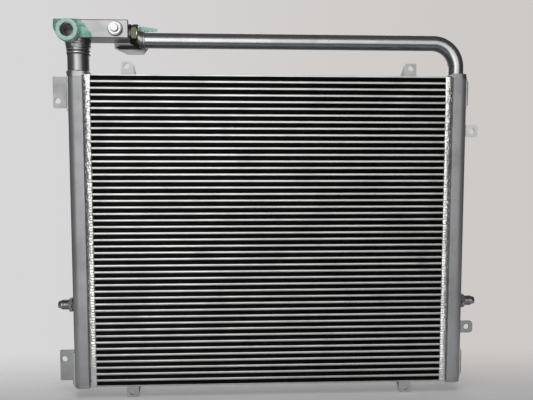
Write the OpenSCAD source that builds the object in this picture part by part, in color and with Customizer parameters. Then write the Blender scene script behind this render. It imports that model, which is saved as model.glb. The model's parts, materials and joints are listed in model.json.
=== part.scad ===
/* [Core] */
// Width of the finned stretch between the end bars
fin_w = 842; // [600:2:1000]
// Depth of the core, front face to rear face
core_d = 80; // [60:2:100]
// Number of oil channels
oil_rows = 47; // [20:1:60]
// Height of one oil channel bar
oil_bar_h = 4; // [3:0.5:6]
// Depth of one oil channel bar
oil_bar_d = 6; // [5:1:10]
// Height of one air channel
air_h = 10; // [8:0.5:12]
// Thickness of a parting sheet
sheet_t = 0.8; // [0.5:0.1:1.2]
// Thickness of the top and bottom side plates
side_plate_t = 3.4; // [2:0.2:6]
// Width of the end bars that close the air channels
end_bar_w = 18; // [12:1:24]
// Number of folds in one air fin strip
fin_folds = 22; // [16:1:28]
// Height of an air fin's metal, measured upright
fin_t = 0.8; // [0.6:0.1:1.2]
// Number of folds in one oil turbulator
turb_folds = 4; // [3:1:6]
// Height of a turbulator's metal, measured upright
turb_t = 0.5; // [0.4:0.1:0.8]

/* [Tanks] */
// Width of a tank, core to outer face
tank_w = 40; // [36:1:60]
// Wall of a tank
tank_wall = 5; // [3:0.5:6]
// Outer corner radius of a tank
tank_r = 20; // [8:1:20]
// How far the tank's caps stand past the core
cap_over = 7; // [4:1:12]
// Thickness of a tank's end cap
cap_t = 12; // [10:1:16]
// Width of a corner weld bead
weld_w = 14.5; // [10:0.5:18]
// Height of a corner weld bead
weld_h = 3; // [2:0.5:4]

/* [Pipework] */
// Outer diameter of the neck tube
neck_od = 51.5; // [44:0.5:53]
// Wall of the neck tube
neck_wall = 4; // [3:0.5:5]
// Outer diameter of the return pipe
pipe_od = 36; // [32:1:39]
// Wall of the return pipe
pipe_wall = 3; // [2:0.5:4]
// Centre line radius of the return pipe's bend
bend_r = 60; // [55:1:75]
// Height of the return pipe's axis above the core
pipe_rise = 87; // [80:0.5:90]
// Size across the flats of the union nut
nut_af = 44; // [42:1:46]
// Length of the union nut
nut_len = 16; // [15:1:20]

/* [Port block] */
// Length of the port block
block_l = 172; // [165:1:180]
// Height of the port block
block_h = 43; // [38:1:44]
// Depth of the port block
block_d = 54; // [52:1:60]
// Width of the chamfers along the edges of the port block
block_edge = 2; // [1:0.5:3]
// Outer diameter of the front port boss
front_boss_od = 48; // [44:1:50]
// Outer diameter of the rear port boss
rear_boss_od = 44; // [42:1:44]
// How far both port bosses stand out
boss_proud = 20; // [16:1:24]
// Wall radius of both threaded ports
port_r = 15.65; // [14:0.05:16]
// Depth of the thread in both ports
port_depth = 20; // [16:1:24]

/* [Bypass valve] */
// Radius of the valve gallery
gallery_r = 13.5; // [13:0.1:14]
// Radius of the valve seat's opening
seat_r = 9; // [8:0.1:10]
// Gap between the poppet's skirt and the gallery
poppet_gap = 0.4; // [0.3:0.05:0.6]
// Number of turns of the valve spring
spring_turns = 5; // [4:1:7]
// Wire diameter of the valve spring
spring_wire = 1.8; // [1.2:0.1:2]

/* [Brackets] */
// Distance of the four end tabs from the centre
tab_x = 337; // [200:1:400]
// Width of an end tab
tab_w = 26; // [22:1:34]
// Height of an upper tab
top_tab_h = 30; // [26:1:36]
// Height of a lower tab
low_tab_h = 28; // [24:1:32]
// Hole diameter of an upper tab
top_tab_hole = 13; // [9:0.5:14]
// Hole diameter of a lower tab
low_tab_hole = 11; // [9:0.5:13]
// Thickness of the tabs, lugs and bracket plates
plate_t = 4; // [3:0.5:5]
// Thickness of the pads welded to the tanks
pad_t = 5; // [4:0.5:7]
// Hole diameter of the left brackets
bracket_hole = 14; // [11:0.5:15]
// Hole diameter of the right lugs
lug_hole = 14; // [11:0.5:15]

/* [Hidden] */
$fn = 72;
arc_steps = 10;         // straight pieces in a quarter round

// Heights, counted from the underside of the core
oil_h = oil_bar_h + 2 * sheet_t;
pitch = oil_h + air_h;
core_h = 2 * side_plate_t + oil_rows * oil_h + (oil_rows + 1) * air_h;
base_lift = low_tab_h;  // the lower tabs' tips stand at zero height

// Half widths
fin_x = fin_w / 2;
core_x = fin_x + end_bar_w;
tank_out = core_x + tank_w;
tank_x = core_x + tank_w / 2;
front_y = -core_d / 2;
rear_y = core_d / 2;

// Tank ends
tank_top = core_h + cap_over;
tank_low = -4;
shell_low = tank_low + cap_t;
shell_top = tank_top - cap_t;

// Port block, with its left end past the tank
block_left = -(tank_x + 47);
block_right = block_left + block_l;
block_low = core_h + 86;
block_top = block_low + block_h;
block_y = block_d / 2;
block_cut = 20;         // height of the sloping cut at the left end's foot
block_cut_x = 11;       // its width
boss_y = block_y + boss_proud;
front_port_x = -(tank_x + 11.5);
front_port_z = block_low + 13.5;
gallery_z = block_low + block_h / 2;
cross_x = block_right - 30;     // the cross drilling: plug in front, port behind
socket_low = block_low - 21;
socket_depth = 19;
seat_x = block_left + 76;
chamber_r = 17.5;
passage_r = 13;
circlip_x = seat_x + 44;
circlip_t = 1.6;

// Return pipe
pipe_z = core_h + pipe_rise;
pipe_r = pipe_od / 2;
pipe_bore = pipe_r - pipe_wall;
riser_x = tank_x + 2;
bend_x = riser_x - bend_r;
bend_z = pipe_z - bend_r;

// Union between the block and the pipe, whose axis lies lower than the nut's
union_z = gallery_z - 7.5;
stub_r = 19.2;
union_bore = 13.5;
ferrule_bore = 11.5;
adapter_t = 3;
nut_x = block_right + adapter_t + 1;
nut_end = nut_x + nut_len;
seat_face_x = nut_x + nut_len - 8;
ferrule_x = seat_face_x + 1.5;
lip_x = ferrule_x + 3.2;        // the nut's inner lip that holds the ferrule
pipe_start = nut_end + 8;

// Fittings low on the tanks
fitting_z = 194;
fitting_boss_t = 5;
fitting_thread_r = 12;
fitting_bore_r = 6;

// Side brackets and lugs
left_flange_x = 42;     // how far a left flange stands out from its tank
left_hole_x = 31;
left_upper_pad = [667, 745];
left_upper_flange = [675, 749.5];
left_lower_pad = [-5, 79];
left_lower_flange = [3, 79.5];
left_upper_hole_z = 692;
left_lower_hole_z = 57;
lug_z = [131.6, 622];
lug_h = 30;
lug_reach = 32;
lug_hole_x = 16.4;
lug_y = -20;

// Points along an arc about c, from angle a0 to angle a1
function arc(c, r, a0, a1, n = arc_steps) =
    [for (i = [0:n]) c + r * [cos(a0 + (a1 - a0) * i / n), sin(a0 + (a1 - a0) * i / n)]];

// Outline of a rectangle between two corners, with a radius for each corner:
// lower left, lower right, upper right, upper left
function rounded(lo, hi, r) = concat(
    arc(lo + [r[0], r[0]], r[0], 180, 270, 6),
    arc([hi[0] - r[1], lo[1] + r[1]], r[1], 270, 360, 6),
    arc(hi - [r[2], r[2]], r[2], 0, 90, 6),
    arc([lo[0] + r[3], hi[1] - r[3]], r[3], 90, 180, 6));

// Outline of a rectangle between two corners with chamfers e wide
function eased(lo, hi, e) = [[lo[0] + e, lo[1]], [hi[0] - e, lo[1]], [hi[0], lo[1] + e], [hi[0], hi[1] - e],
    [hi[0] - e, hi[1]], [lo[0] + e, hi[1]], [lo[0], hi[1] - e], [lo[0], lo[1] + e]];

// Outline of a folded strip: n folds over length l, height h, upright thickness t
function folded(l, n, h, t) = concat(
    [for (i = [0:2 * n]) [-l / 2 + i * l / (2 * n), (i % 2) * (h - t)]],
    [for (i = [2 * n:-1:0]) [-l / 2 + i * l / (2 * n), (i % 2) * (h - t) + t]]);

// Everything is drawn on the core's own heights, then lifted onto its lower tabs
module placed() translate([0, 0, base_lift]) children();

// A flat outline given in X and Z, between two depths
module slab_y(points, y0, y1)
    translate([0, y1, 0]) rotate([90, 0, 0]) linear_extrude(y1 - y0) polygon(points);

// A flat outline given in Y and Z, between two sideways places
module slab_x(points, x0, x1)
    translate([x0, 0, 0]) rotate([90, 0, 90]) linear_extrude(x1 - x0) polygon(points);

// A flat outline given in X and Y, between two heights
module slab_z(points, z0, z1) translate([0, 0, z0]) linear_extrude(z1 - z0) polygon(points);

module rod_x(x0, x1, r, r_end = undef)
    translate([x0, 0, 0]) rotate([0, 90, 0])
        cylinder(h = x1 - x0, r1 = r, r2 = is_undef(r_end) ? r : r_end);

module rod_y(y0, y1, r)
    translate([0, y1, 0]) rotate([90, 0, 0]) cylinder(h = y1 - y0, r = r);

module rod_z(z0, z1, r, r_end = undef)
    translate([0, 0, z0]) cylinder(h = z1 - z0, r1 = r, r2 = is_undef(r_end) ? r : r_end);

module box(lo, hi) translate(lo) cube(hi - lo);

// The lowest height of air channel i and of oil channel i
function air_z(i) = side_plate_t + i * pitch;
function oil_z(i) = air_z(i) + air_h;

// ---------- Core ----------

module oil_bars(y0) placed() color("gainsboro")
    for (i = [0:oil_rows - 1])
        box([-core_x, y0, oil_z(i) + sheet_t], [core_x, y0 + oil_bar_d, oil_z(i) + sheet_t + oil_bar_h]);

module oil_bars_front() oil_bars(front_y);

module oil_bars_rear() oil_bars(rear_y - oil_bar_d);

module parting_sheets() placed() color("silver")
    for (i = [0:oil_rows - 1], z = [oil_z(i), oil_z(i) + oil_h - sheet_t])
        box([-core_x, front_y, z], [core_x, rear_y, z + sheet_t]);

module oil_turbulators() placed() color("darkgray")
    for (i = [0:oil_rows - 1])
        translate([0, 0, oil_z(i) + sheet_t])
            slab_x(folded(core_d - 2 * oil_bar_d, turb_folds, oil_bar_h, turb_t), -fin_x, fin_x);

module air_fins() placed() color([0.12, 0.12, 0.13])
    for (i = [0:oil_rows])
        translate([0, 0, air_z(i)]) slab_y(folded(fin_w, fin_folds, air_h, fin_t), front_y, rear_y);

module end_bars(x0) placed() color("lightgray")
    for (i = [0:oil_rows])
        box([x0, front_y, air_z(i)], [x0 + end_bar_w, rear_y, air_z(i) + air_h]);

module left_end_bars() end_bars(-core_x);

module right_end_bars() end_bars(fin_x);

module side_plate(z0) placed() color("silver")
    box([-core_x, front_y, z0], [core_x, rear_y, z0 + side_plate_t]);

module top_side_plate() side_plate(core_h - side_plate_t);

module bottom_side_plate() side_plate(0);

// ---------- Tanks ----------

// Outline of a tank, drawn for the right side and grown inwards by its wall
module tank_outline(inset) {
    r = tank_r - inset;
    x = tank_out - tank_r;
    y = rear_y - tank_r;
    polygon(concat([[core_x, front_y + inset]], arc([x, -y], r, 270, 360),
        arc([x, y], r, 0, 90), [[core_x, rear_y - inset]]));
}

module right_shell() color([0.6, 0.62, 0.64])
    difference() {
        translate([0, 0, shell_low]) linear_extrude(shell_top - shell_low)
            difference() {
                tank_outline(0);
                tank_outline(tank_wall);
            }
        translate([0, 0, fitting_z]) rod_x(tank_x, tank_out + 1, fitting_bore_r);
    }

// An end cap, with its outer edge cut at a slope
module right_cap(z0, up) color([0.6, 0.62, 0.64])
    intersection() {
        translate([0, 0, z0]) linear_extrude(cap_t) tank_outline(0);
        translate([0, 0, up ? z0 : z0 + cap_t]) mirror([0, 0, up ? 0 : 1])
            slab_y([[core_x, 0], [tank_out, 0], [tank_out, 1], [tank_out - 6, cap_t], [core_x, cap_t]],
                front_y, rear_y);
    }

// The two round-backed beads that join a tank to the core, front and rear
module right_welds() color("white")
    for (side = [0, 1])
        mirror([0, side, 0]) {
            r = (weld_w * weld_w / 4 + weld_h * weld_h) / (2 * weld_h);
            half = asin(weld_w / 2 / r);
            translate([fin_x + weld_w / 2 + 0.25, 0, 0]) linear_extrude(core_h)
                polygon(arc([0, rear_y + weld_h - r], r, 90 - half, 90 + half, 8));
        }

module left_tank_shell() placed() mirror([1, 0, 0]) right_shell();

module right_tank_shell() placed() right_shell();

// The left top cap flares out to carry the neck, which is wider than the tank
module left_tank_top_cap() placed() color([0.6, 0.62, 0.64])
    difference() {
        union() {
            mirror([1, 0, 0]) right_cap(shell_top, true);
            translate([-tank_x, 0, 0]) rod_z(core_h + 0.5, tank_top, neck_od / 2 + 2);
            intersection() {
                translate([-tank_x, 0, 0]) rod_z(core_h - 4, core_h + 0.5, tank_w / 2, neck_od / 2 + 2);
                box([-tank_out, front_y, shell_top], [-core_x - 0.3, rear_y, tank_top]);
            }
        }
        translate([-tank_x, 0, 0]) rod_z(shell_top - 1, tank_top + 1, tank_w / 2 - tank_wall);
    }

module left_tank_bottom_cap() placed() mirror([1, 0, 0]) right_cap(tank_low, false);

module right_tank_top_cap() placed() color([0.6, 0.62, 0.64])
    difference() {
        right_cap(shell_top, true);
        translate([tank_x, 0, 0]) rod_z(shell_top - 1, tank_top + 1, tank_w / 2 - tank_wall);
    }

module right_tank_bottom_cap() placed() right_cap(tank_low, false);

module left_tank_welds() placed() mirror([1, 0, 0]) right_welds();

module right_tank_welds() placed() right_welds();

// ---------- Pipework ----------

module neck_tube() placed() color("lightgray")
    translate([-tank_x, 0, 0]) difference() {
        rod_z(tank_top, socket_low + socket_depth, neck_od / 2);
        rod_z(tank_top - 1, socket_low + socket_depth + 1, neck_od / 2 - neck_wall);
    }

// The rounded bead around the neck below the block
module neck_collar() placed() color("white")
    translate([-tank_x, 0, socket_low - 13]) difference() {
        rotate_extrude() translate([neck_od / 2, 0]) {
            translate([0, 2.2]) circle(2.2);
            translate([0, 10.2]) circle(2.2);
            translate([-1, 2]) square([1.6, 8]);
        }
        rod_z(-1, 13, neck_od / 2);
    }

module return_pipe() placed() color("lightgray")
    difference() {
        pipe_run(pipe_r, 0);
        pipe_run(pipe_bore, 1);
    }

// Riser, bend and level run of the return pipe, made longer at both ends by extra
module pipe_run(r, extra) {
    translate([riser_x, 0, 0]) rod_z(tank_top - extra, bend_z, r);
    translate([bend_x, 0, bend_z]) rotate([90, 0, 0])
        rotate_extrude(angle = 90) translate([bend_r, 0]) circle(r);
    translate([0, 0, pipe_z]) rod_x(pipe_start - extra, bend_x, r);
}

// The fillet where the return pipe stands on the right tank
module return_pipe_base_ring() placed() color("white")
    translate([riser_x, 0, tank_top]) difference() {
        rod_z(0, 3, pipe_r + 3, pipe_r + 0.4);
        rod_z(-1, 4, pipe_r);
    }

// A slanting cone through circles that stand across X, each given as [x, z, radius]
module slanted(circles) hull()
    for (c = circles) translate([0, 0, c[1]]) rod_x(c[0] - 0.2, c[0], c[2]);

// The ferrule in the nut and the slanting sleeve that is welded to the pipe's end
module pipe_end_sleeve() placed() color("silver")
    difference() {
        union() {
            translate([0, 0, union_z]) {
                rod_x(ferrule_x, lip_x - 0.2, stub_r - 0.3);
                rod_x(ferrule_x + 1, nut_end + 0.7, stub_r - 2.4);
            }
            slanted([[nut_end + 0.4, pipe_z + 3.5, pipe_r + 1.8], [pipe_start, pipe_z, pipe_r + 2.3],
                [pipe_start + 6, pipe_z, pipe_r + 0.6]]);
        }
        translate([0, 0, union_z]) rod_x(ferrule_x - 1, lip_x, ferrule_bore);
        slanted([[lip_x, union_z, ferrule_bore + 0.3], [pipe_start + 0.7, pipe_z, pipe_bore]]);
        translate([0, 0, pipe_z]) rod_x(pipe_start, pipe_start + 7, pipe_r);
    }

// A hexagonal nut on the X axis with both ends chamfered: turned 30 it has flats at top and
// bottom, turned 0 it has corners there
module hex_x(x0, x1, af, turn = 30) intersection() {
    translate([x0, 0, 0]) rotate([0, 90, 0]) rotate([0, 0, turn])
        cylinder(h = x1 - x0, r = af / sqrt(3), $fn = 6);
    translate([x0, 0, 0]) rotate([0, 90, 0]) rotate_extrude()
        polygon([[0, 0], [af / 2, 0], [af / sqrt(3), af / 12], [af / sqrt(3), x1 - x0 - af / 12],
            [af / 2, x1 - x0], [0, x1 - x0]]);
}

module union_nut() placed() color([0.62, 0.56, 0.3])
    translate([0, 0, union_z]) difference() {
        hex_x(nut_x, nut_end, nut_af, 0);
        rod_x(nut_x - 1, lip_x, stub_r + 0.1);
        rod_x(nut_x, nut_end + 1, stub_r - 2.2);
    }

// The collar on the block's end, with the stub that the nut screws onto
module union_adapter() placed() color("dimgray")
    difference() {
        union() {
            translate([0, 0, union_z + 1]) rod_x(block_right, block_right + adapter_t, 23.5);
            translate([0, 0, union_z]) rod_x(block_right + adapter_t - 1, seat_face_x, stub_r);
        }
        translate([0, 0, gallery_z]) rod_x(block_right - 1, block_right + adapter_t, gallery_r);
        translate([0, 0, union_z]) rod_x(block_right + 1, seat_face_x + 1, union_bore);
    }

module union_seal() placed() color([0.1, 0.1, 0.1])
    translate([0, 0, union_z]) difference() {
        rod_x(seat_face_x, ferrule_x, stub_r - 0.5);
        rod_x(seat_face_x - 1, ferrule_x + 1, union_bore);
    }

// ---------- Port block and its bypass valve ----------

module port_block() placed() color("silver")
    difference() {
        union() {
            intersection() {
                slab_y([[block_left, block_low + block_cut], [block_left + block_cut_x, block_low],
                    [block_right, block_low], [block_right, block_top - block_edge],
                    [block_right - block_edge, block_top], [block_left, block_top]], -block_y, block_y);
                slab_x(eased([-block_y, block_low], [block_y, block_top], block_edge),
                    block_left - 1, block_right + 1);
                slab_z(eased([block_left, -block_y], [block_right, block_y], block_edge),
                    block_low - 1, block_top + 1);
            }
            translate([front_port_x, 0, front_port_z]) rod_y(-boss_y, -block_y + 1, front_boss_od / 2);
            translate([cross_x, 0, gallery_z]) rod_y(block_y - 1, boss_y, rear_boss_od / 2);
            intersection() {
                translate([-tank_x, 0, 0])
                    rod_z(socket_low, block_low + 1, neck_od / 2 + 2, neck_od / 2 + 3);
                box([block_left, -block_y, socket_low], [block_right, block_y, block_low + 1]);
            }
        }
        // the neck's socket and the chamber above it
        translate([-tank_x, 0, 0]) {
            rod_z(socket_low - 1, socket_low + socket_depth, neck_od / 2);
            rod_z(socket_low, gallery_z, chamber_r);
        }
        // the front port
        translate([front_port_x, 0, front_port_z]) {
            rod_y(-boss_y - 1, -boss_y + port_depth, port_r);
            rod_y(-boss_y, 6, passage_r);
        }
        // the valve seat and the gallery
        translate([0, 0, gallery_z]) {
            rod_x(seat_x - 22, seat_x + 1, seat_r);
            rod_x(seat_x, block_right + 1, gallery_r);
            rod_x(circlip_x, circlip_x + circlip_t, gallery_r + 0.9);
        }
        // the cross drilling, threaded at both ends
        translate([cross_x, 0, gallery_z]) {
            rod_y(-block_y - 1, -block_y + 18, port_r);
            rod_y(-block_y, boss_y, passage_r);
            rod_y(boss_y - port_depth, boss_y + 1, port_r);
        }
    }

module gallery_plug() placed() color("white")
    translate([cross_x, 0, gallery_z]) {
        rod_y(-block_y - 9, -block_y - 2.5, 14.5);
        rod_y(-block_y - 14, -block_y - 9, 8.5);
        rod_y(-block_y - 2.5, -block_y + 16, port_r - 0.1);
    }

module gallery_plug_washer() placed() color([0.15, 0.15, 0.15])
    translate([cross_x, 0, gallery_z]) difference() {
        rod_y(-block_y - 2.5, -block_y, 17.2);
        rod_y(-block_y - 3, -block_y + 1, port_r);
    }

// The poppet's nose rests in the seat, its skirt slides in the gallery
module bypass_poppet() placed() color("goldenrod")
    translate([0, 0, gallery_z]) difference() {
        union() {
            rod_x(seat_x - 3, seat_x + 0.4, seat_r - 2, seat_r - 0.4);
            rod_x(seat_x + 0.4, seat_x + 16, gallery_r - poppet_gap);
        }
        rod_x(seat_x + 4, seat_x + 17, gallery_r - 3);
    }

// Places of the spring's wire: a ring of rim points about each step along the coil
spring_x0 = seat_x + 4.2;
spring_x1 = circlip_x - 4.2;
spring_mean_r = gallery_r - 3.3 - spring_wire / 2;
ring_sides = 6;
ring_steps = spring_turns * 14;

function spring_point(i, k) =
    let (a = 360 * spring_turns * i / ring_steps,
        b = 360 * k / ring_sides,
        w = spring_wire / 2,
        x = spring_x0 + w + (spring_x1 - spring_x0 - 2 * w) * i / ring_steps,
        r = spring_mean_r + w * cos(b))
    [x + w * sin(b), r * cos(a), r * sin(a)];

module bypass_spring() placed() color("dimgray")
    translate([0, 0, gallery_z]) polyhedron(
        points = [for (i = [0:ring_steps], k = [0:ring_sides - 1]) spring_point(i, k)],
        faces = concat(
            [[for (k = [ring_sides - 1:-1:0]) k]],
            [for (i = [0:ring_steps - 1], k = [0:ring_sides - 1])
                [i * ring_sides + k, i * ring_sides + (k + 1) % ring_sides,
                 (i + 1) * ring_sides + (k + 1) % ring_sides, (i + 1) * ring_sides + k]],
            [[for (k = [0:ring_sides - 1]) ring_steps * ring_sides + k]]));

module spring_retainer() placed() color("darkgray")
    translate([0, 0, gallery_z]) difference() {
        rod_x(circlip_x - 4, circlip_x, gallery_r);
        rod_x(circlip_x - 5, circlip_x + 1, 6);
    }

module retainer_circlip() placed() color("black")
    translate([0, 0, gallery_z]) difference() {
        rod_x(circlip_x, circlip_x + circlip_t, gallery_r + 0.8);
        rod_x(circlip_x - 1, circlip_x + circlip_t + 1, gallery_r - 2);
        box([circlip_x - 1, -3, -gallery_r - 2], [circlip_x + circlip_t + 1, 3, -5]);
    }

// ---------- Protective film ----------

film_t = 0.6;

module front_port_film() placed() color([0.45, 0.85, 0.68, 0.6])
    difference() {
        union() {
            translate([front_port_x, 0, front_port_z])
                rod_y(-boss_y - film_t, -block_y - film_t, front_boss_od / 2 + film_t);
            slab_y(rounded([front_port_x + 10, block_low + 3], [front_port_x + 52, block_low + 34],
                [3, 3, 14, 3]), -block_y - film_t, -block_y);
        }
        translate([front_port_x, 0, front_port_z]) {
            rod_y(-boss_y, -block_y + 1, front_boss_od / 2 + 0.05);
            rod_y(-boss_y - 2, -boss_y + 1, port_r + 2);
        }
    }

module rear_port_film() placed() color([0.45, 0.85, 0.68, 0.6])
    difference() {
        union() {
            translate([cross_x, 0, gallery_z])
                rod_y(block_y + 6, boss_y + film_t, rear_boss_od / 2 + film_t);
            slab_y(rounded([cross_x + 18, gallery_z + 8], [cross_x + 88, gallery_z + 23], [2, 6, 7, 2]),
                boss_y - 6, boss_y - 6 + film_t);
        }
        translate([cross_x, 0, gallery_z]) {
            rod_y(block_y, boss_y, rear_boss_od / 2);
            rod_y(boss_y - 1, boss_y + 2, port_r + 2);
        }
    }

// ---------- Slotted bracket behind the block ----------

slot_z = block_low - 9;
slot_half = 4.9;
slot_x = [block_right - 43, block_right + 22];

// A slot's shape with a pointed left end, cut along Y and shrunk by gap
module slot_y(gap, y0, y1) {
    x = [slot_x[0] + gap, slot_x[1] - gap];
    z = [slot_z - slot_half + gap, slot_z + slot_half - gap];
    slab_y([[x[0], slot_z], [x[0] + 8, z[0]], [x[1], z[0]], [x[1], z[1]], [x[0] + 11, z[1]]], y0, y1);
}

module slotted_bracket() placed() color("silver")
    difference() {
        slab_y([[block_right - 46, block_low - 12], [block_right - 16, block_low - 25.5],
            [block_right + 24, block_low - 25.5], [block_right + 35, block_low - 12],
            [block_right + 35, block_low + 8], [block_right - 46, block_low + 8]],
            block_y, block_y + plate_t);
        translate([cross_x, 0, gallery_z]) rod_y(block_y - 1, boss_y, rear_boss_od / 2);
        slot_y(0, block_y - 1, block_y + plate_t + 1);
    }

// Rubber strip that fills the slot
module slot_strip() placed() color([0.12, 0.12, 0.12])
    slot_y(0.05, block_y + 0.4, block_y + plate_t - 0.6);

// ---------- Brackets, pads, lugs and tabs ----------

// A pad on a tank's side, drawn for the right: a slab with sloping ends
module side_pad(z, t) slab_y([[tank_out, z[0]], [tank_out + t, z[0] + 7], [tank_out + t, z[1] - 7],
    [tank_out, z[1]]], front_y + 16, rear_y - 16);

// A pad with a flange standing out of its middle and one bolt hole
module left_bracket(pad, flange, hole_z) placed() color("darkgray") mirror([1, 0, 0])
    difference() {
        union() {
            side_pad(pad, pad_t);
            slab_y(rounded([tank_out + 1, flange[0]], [tank_out + left_flange_x, flange[1]],
                [0.5, 2, 2, 0.5]), -plate_t, 0);
        }
        translate([tank_out + left_hole_x, 0, hole_z]) rod_y(-plate_t - 1, 1, bracket_hole / 2);
    }

module upper_left_bracket() left_bracket(left_upper_pad, left_upper_flange, left_upper_hole_z);

module lower_left_bracket() left_bracket(left_lower_pad, left_lower_flange, left_lower_hole_z);

module upper_right_pad() placed() color("darkgray") side_pad([678, 746], pad_t);

module lower_right_pad() placed() color("darkgray") side_pad([8, 77], pad_t);

module right_lug(z) placed() color("darkgray")
    difference() {
        slab_y(rounded([tank_out, z - lug_h / 2], [tank_out + lug_reach, z + lug_h / 2], [0.5, 8, 8, 0.5]),
            lug_y - plate_t / 2, lug_y + plate_t / 2);
        translate([tank_out + lug_hole_x, 0, z]) rod_y(lug_y - plate_t, lug_y + plate_t, lug_hole / 2);
    }

module lower_right_lug() right_lug(lug_z[0]);

module upper_right_lug() right_lug(lug_z[1]);

// A tab at the core's front edge, drawn for the right and upwards, with its gusset
module tab(h, hole, hole_h) color("darkgray")
    difference() {
        union() {
            slab_y(rounded([tab_x - tab_w / 2, 0], [tab_x + tab_w / 2, h], [0.5, 0.5, 3, 3]),
                front_y + 2, front_y + 2 + plate_t);
            slab_x([[front_y + 2, 0], [front_y + 42, 0], [front_y + 2 + plate_t, h - 6],
                [front_y + 2, h - 6]], tab_x - tab_w / 2 - plate_t + 1, tab_x - tab_w / 2 + 1);
        }
        translate([tab_x, 0, hole_h]) rod_y(front_y, front_y + 3 + plate_t, hole / 2);
    }

module top_right_tab() placed() translate([0, 0, core_h]) tab(top_tab_h, top_tab_hole, 18.5);

module top_left_tab() placed() mirror([1, 0, 0]) translate([0, 0, core_h])
    tab(top_tab_h, top_tab_hole, 18.5);

module bottom_right_tab() placed() mirror([0, 0, 1]) tab(low_tab_h, low_tab_hole, 16.5);

module bottom_left_tab() placed() mirror([1, 0, 0]) mirror([0, 0, 1])
    tab(low_tab_h, low_tab_hole, 16.5);

// ---------- Fittings low on the tanks, drawn for the right ----------

fit_x = tank_out + fitting_boss_t;

module fitting_boss() color("silver")
    translate([0, 0, fitting_z]) difference() {
        rod_x(tank_out, fit_x, 17, 15.5);
        rod_x(tank_out - 1, fit_x + 1, fitting_bore_r);
    }

module fitting() color([0.75, 0.75, 0.78])
    translate([0, 0, fitting_z]) difference() {
        union() {
            hex_x(fit_x + 1, fit_x + 10, 32);
            rod_x(fit_x + 9, fit_x + 28, fitting_thread_r);
            rod_x(fit_x + 28, fit_x + 37, fitting_thread_r - 1, 8.5);
        }
        rod_x(fit_x, fit_x + 38, fitting_bore_r);
    }

module fitting_washer() color([0.1, 0.1, 0.1])
    translate([0, 0, fitting_z]) difference() {
        rod_x(fit_x, fit_x + 1, 14);
        rod_x(fit_x - 1, fit_x + 2, fitting_bore_r);
    }

module left_fitting_boss() placed() mirror([1, 0, 0]) fitting_boss();

module left_fitting() placed() mirror([1, 0, 0]) fitting();

module left_fitting_washer() placed() mirror([1, 0, 0]) fitting_washer();

module right_fitting_boss() placed() fitting_boss();

module right_fitting() placed() fitting();

module right_fitting_washer() placed() fitting_washer();

oil_bars_front();
oil_bars_rear();
parting_sheets();
oil_turbulators();
air_fins();
left_end_bars();
right_end_bars();
top_side_plate();
bottom_side_plate();
left_tank_shell();
left_tank_top_cap();
left_tank_bottom_cap();
left_tank_welds();
right_tank_shell();
right_tank_top_cap();
right_tank_bottom_cap();
right_tank_welds();
neck_tube();
neck_collar();
return_pipe();
return_pipe_base_ring();
pipe_end_sleeve();
union_nut();
union_adapter();
union_seal();
port_block();
gallery_plug();
gallery_plug_washer();
bypass_poppet();
bypass_spring();
spring_retainer();
retainer_circlip();
front_port_film();
rear_port_film();
slotted_bracket();
slot_strip();
upper_left_bracket();
lower_left_bracket();
upper_right_pad();
lower_right_pad();
upper_right_lug();
lower_right_lug();
top_left_tab();
top_right_tab();
bottom_left_tab();
bottom_right_tab();
left_fitting_boss();
left_fitting();
left_fitting_washer();
right_fitting_boss();
right_fitting();
right_fitting_washer();
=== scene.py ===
import json
import math

import bpy
from mathutils import Matrix, Vector, noise


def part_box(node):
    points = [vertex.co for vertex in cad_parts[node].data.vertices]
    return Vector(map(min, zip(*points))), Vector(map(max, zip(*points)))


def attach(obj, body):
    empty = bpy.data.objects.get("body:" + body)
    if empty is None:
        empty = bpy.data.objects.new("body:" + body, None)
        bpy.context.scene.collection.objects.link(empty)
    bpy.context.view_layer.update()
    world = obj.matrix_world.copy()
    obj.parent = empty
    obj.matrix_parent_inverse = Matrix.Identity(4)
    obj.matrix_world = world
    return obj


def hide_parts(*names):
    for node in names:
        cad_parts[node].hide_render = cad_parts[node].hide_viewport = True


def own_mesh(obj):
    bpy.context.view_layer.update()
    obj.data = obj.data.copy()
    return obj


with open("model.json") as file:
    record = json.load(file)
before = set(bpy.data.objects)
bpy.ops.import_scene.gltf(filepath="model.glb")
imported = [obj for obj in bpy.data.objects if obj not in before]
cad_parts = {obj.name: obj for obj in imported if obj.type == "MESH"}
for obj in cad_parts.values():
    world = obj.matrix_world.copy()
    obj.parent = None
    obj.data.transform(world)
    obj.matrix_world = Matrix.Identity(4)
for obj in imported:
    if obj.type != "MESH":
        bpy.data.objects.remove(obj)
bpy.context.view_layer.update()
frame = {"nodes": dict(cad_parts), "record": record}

NODES = frame["nodes"]
MM = 0.001
BODY = "cooler"
RIGHT = Vector((1, 0, 0))
FRONT = Vector((0, -1, 0))
UP = Vector((0, 0, 1))


# ---------- Materials ----------

def blank_material(name):
    """A material with a Principled shader wired to its output."""
    mat = bpy.data.materials.new(name)
    mat.use_nodes = True
    tree = mat.node_tree
    tree.nodes.clear()
    shader = tree.nodes.new("ShaderNodeBsdfPrincipled")
    output = tree.nodes.new("ShaderNodeOutputMaterial")
    tree.links.new(shader.outputs["BSDF"], output.inputs["Surface"])
    return mat, tree, shader


def noise_map(tree, scale, stretch=(1, 1, 1), detail=4.0, distortion=0.0):
    """Noise in the row frame's own metres, drawn out along the axes where stretch is small."""
    coord = tree.nodes.new("ShaderNodeTexCoord")
    mapping = tree.nodes.new("ShaderNodeMapping")
    mapping.inputs["Scale"].default_value = stretch
    tex = tree.nodes.new("ShaderNodeTexNoise")
    tex.inputs["Scale"].default_value = scale
    tex.inputs["Detail"].default_value = detail
    tex.inputs["Distortion"].default_value = distortion
    tree.links.new(coord.outputs["Object"], mapping.inputs["Vector"])
    tree.links.new(mapping.outputs["Vector"], tex.inputs["Vector"])
    return tex.outputs["Fac"]


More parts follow.
